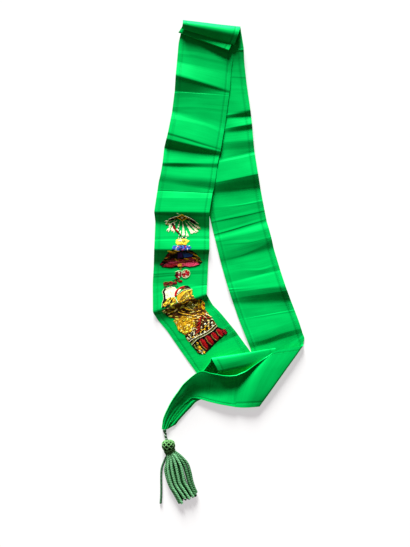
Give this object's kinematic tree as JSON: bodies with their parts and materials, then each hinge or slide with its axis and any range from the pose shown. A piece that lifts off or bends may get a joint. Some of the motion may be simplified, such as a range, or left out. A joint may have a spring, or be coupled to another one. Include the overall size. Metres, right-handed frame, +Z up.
{
  "type": "regalia sash",
  "caption": "Long green satin regalia sash laid flat and folded over itself, one end with an embroidered panel, both ends gathered into a corded tassel.",
  "frame": {"origin": "centre of the laid sash's bounding box, on the surface it lies on", "axes": "+Z up from the table, +Y towards the folded top of the sash, away from the tassel; +X to the right as seen from above"},
  "size_m": [0.2784, 0.8814, 0.0203],
  "materials": {
    "sash_cloth": "satin",
    "embroidery_cream": "matt thread",
    "embroidery_yellow": "silky thread",
    "embroidery_blue": "silky thread",
    "embroidery_crimson": "silky thread",
    "embroidery_gold": "metallic thread",
    "binding_thread": "matt thread",
    "tassel_cord": "twisted cord"
  },
  "bodies": {
    "root": {"sash_ribbon": "sash_cloth", "ray_fan": "embroidery_cream", "flower_bud": "embroidery_yellow", "blue_collar": "embroidery_blue", "palm_dome": "embroidery_crimson", "rosette": "embroidery_crimson", "scroll": "embroidery_cream", "gold_leaves": "embroidery_gold", "wheat_sheaf": "embroidery_gold", "check_band": "embroidery_gold", "scallop_row": "embroidery_crimson", "tip_binding": "binding_thread", "neck_cord": "tassel_cord", "tassel": "tassel_cord"}
  },
  "joints": []
}
